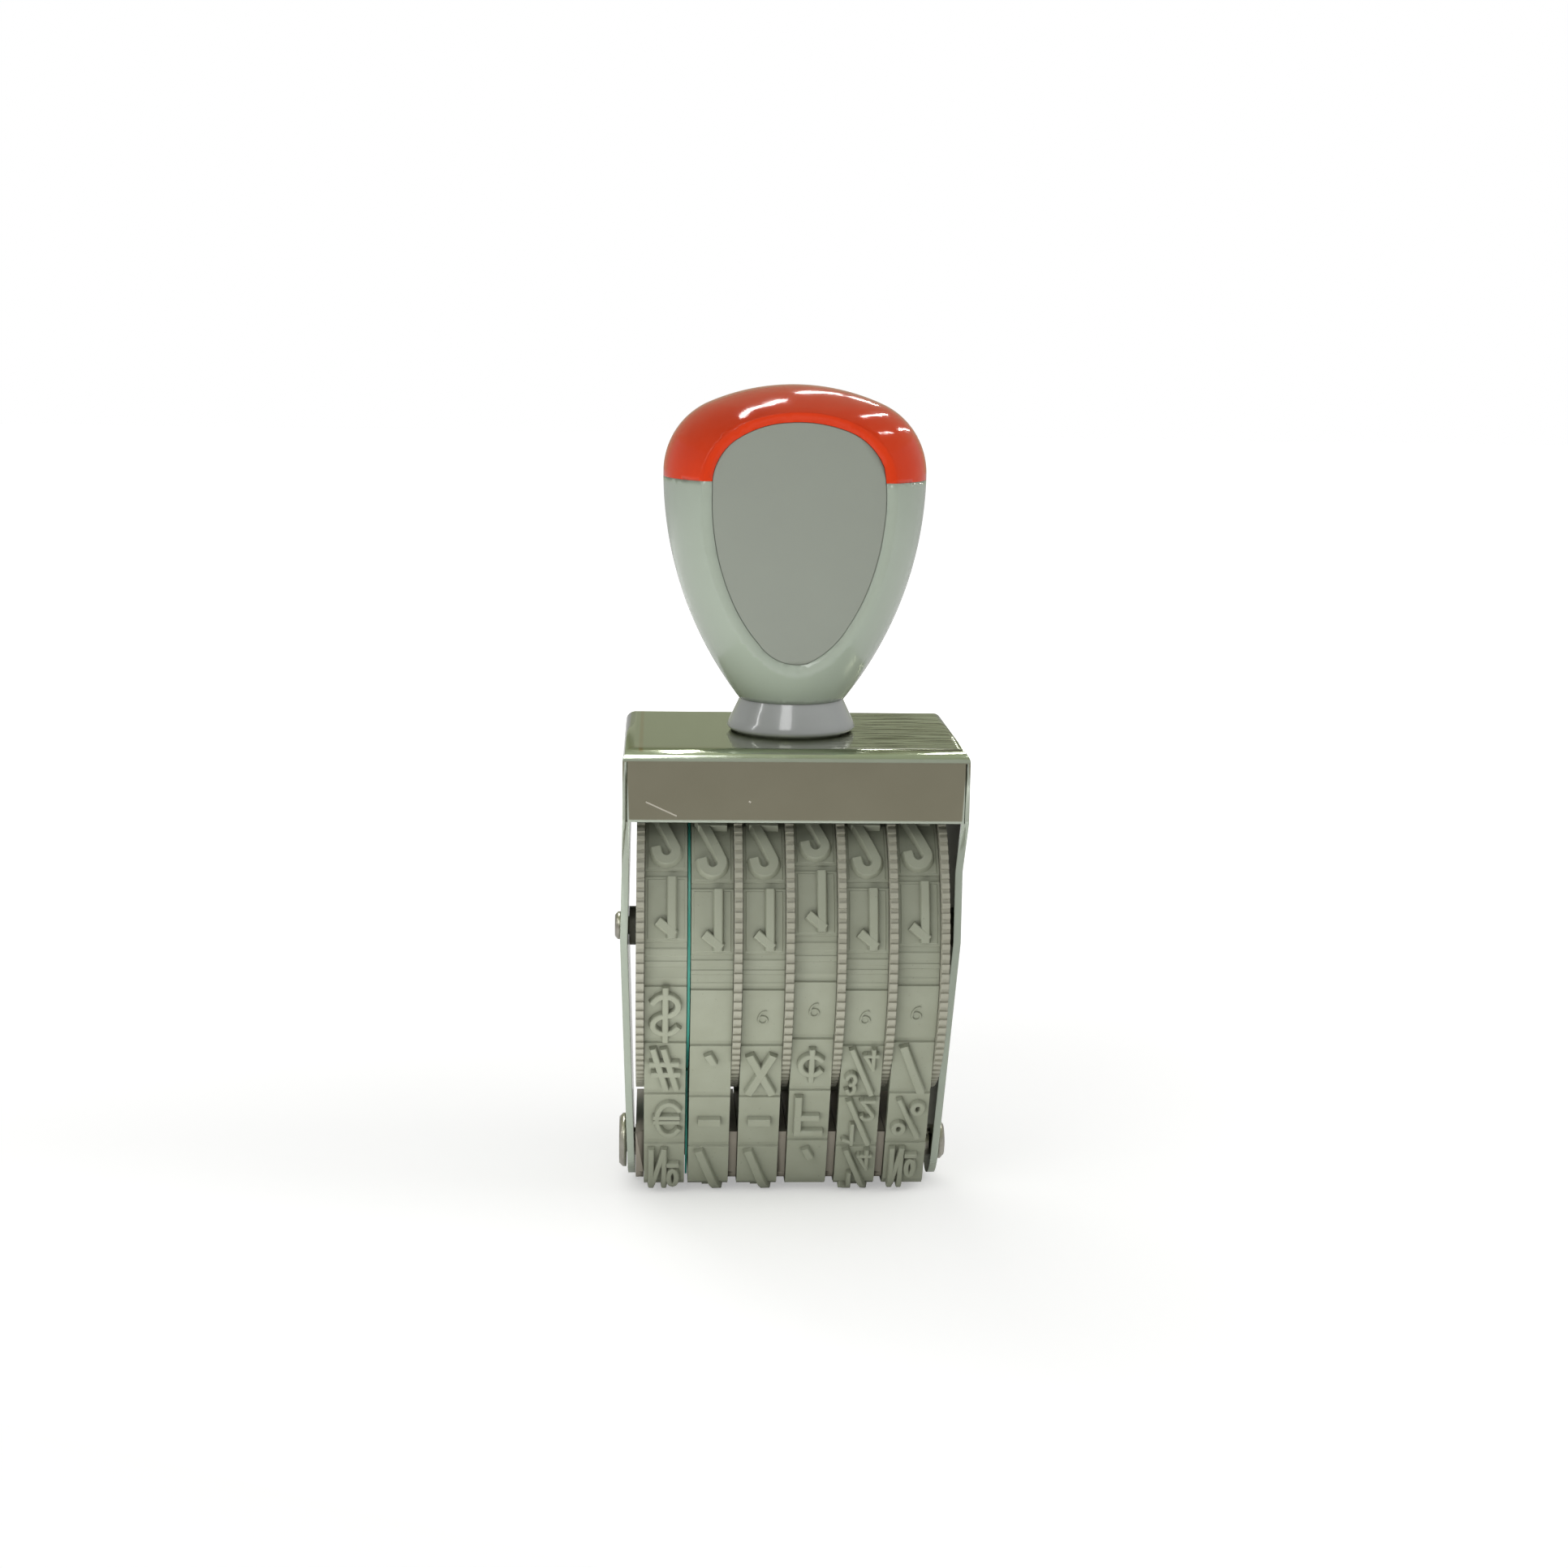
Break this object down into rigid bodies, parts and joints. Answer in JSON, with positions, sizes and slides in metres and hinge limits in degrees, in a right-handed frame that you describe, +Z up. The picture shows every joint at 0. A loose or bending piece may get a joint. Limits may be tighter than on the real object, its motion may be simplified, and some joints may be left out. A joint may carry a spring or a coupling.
{
  "type": "numbering hand stamp",
  "caption": "Self-standing rotary band stamp: ribbed thumb wheels carry rubber number and sign bands round a platen, in a folded chrome frame under a grey pear-shaped handle with a red cap.",
  "frame": {"origin": "centre of the bottom of the object's bounding box, on the printing plane that the type faces of the bands stand on", "axes": "+Z up along the handle, -Y towards the user who faces the badge on the handle, +X along the wheel axle to that user's right"},
  "size_m": [0.0568, 0.0526, 0.1318],
  "materials": {
    "chrome_sheet": "polished chrome plating on folded steel sheet",
    "steel": "plain turned steel",
    "handle_grey": "glossy grey-green moulding",
    "cap_red": "glossy orange-red moulding",
    "badge_grey": "satin grey plate, bare",
    "collar_plastic": "glossy purple-grey moulding",
    "wheel_beige": "beige moulding, ribbed rim",
    "shoe_plastic": "brown-grey moulding",
    "band_rubber": "grey-green type rubber, matt",
    "teal_plastic": "teal sheet plastic",
    "spacer_plastic": "black moulding"
  },
  "bodies": {
    "stamp_frame": {"frame": "chrome_sheet", "wheel_axle": "steel", "axle_spacer_left": "spacer_plastic", "axle_spacer_right": "spacer_plastic", "separator_disc": "teal_plastic", "platen_bar": "steel", "handle_collar": "collar_plastic", "handle_body": "handle_grey", "handle_cap": "cap_red", "front_badge": "badge_grey", "rear_badge": "badge_grey", "handle_screw": "steel", "screw_washer": "steel", "band_1": "band_rubber", "platen_shoe_1": "shoe_plastic", "band_2": "band_rubber", "platen_shoe_2": "shoe_plastic", "band_3": "band_rubber", "platen_shoe_3": "shoe_plastic", "band_4": "band_rubber", "platen_shoe_4": "shoe_plastic", "band_5": "band_rubber", "platen_shoe_5": "shoe_plastic", "band_6": "band_rubber", "platen_shoe_6": "shoe_plastic"},
    "wheel_1": {"thumbwheel_1": "wheel_beige"},
    "wheel_2": {"thumbwheel_2": "wheel_beige"},
    "wheel_3": {"thumbwheel_3": "wheel_beige"},
    "wheel_4": {"thumbwheel_4": "wheel_beige"},
    "wheel_5": {"thumbwheel_5": "wheel_beige"},
    "wheel_6": {"thumbwheel_6": "wheel_beige"}
  },
  "joints": [
    {"name": "wheel_1_turn", "type": "hinge", "parent": "stamp_frame", "child": "wheel_1", "pos_m": [-0.02082, 0, 0.0434], "axis": [1, 0, 0], "continuous": true},
    {"name": "wheel_2_turn", "type": "hinge", "parent": "stamp_frame", "child": "wheel_2", "pos_m": [-0.01227, 0, 0.0434], "axis": [1, 0, 0], "continuous": true},
    {"name": "wheel_3_turn", "type": "hinge", "parent": "stamp_frame", "child": "wheel_3", "pos_m": [-0.00422, 0, 0.0434], "axis": [1, 0, 0], "continuous": true},
    {"name": "wheel_4_turn", "type": "hinge", "parent": "stamp_frame", "child": "wheel_4", "pos_m": [0.00382, 0, 0.0434], "axis": [1, 0, 0], "continuous": true},
    {"name": "wheel_5_turn", "type": "hinge", "parent": "stamp_frame", "child": "wheel_5", "pos_m": [0.01188, 0, 0.0434], "axis": [1, 0, 0], "continuous": true},
    {"name": "wheel_6_turn", "type": "hinge", "parent": "stamp_frame", "child": "wheel_6", "pos_m": [0.01992, 0, 0.0434], "axis": [1, 0, 0], "continuous": true}
  ]
}
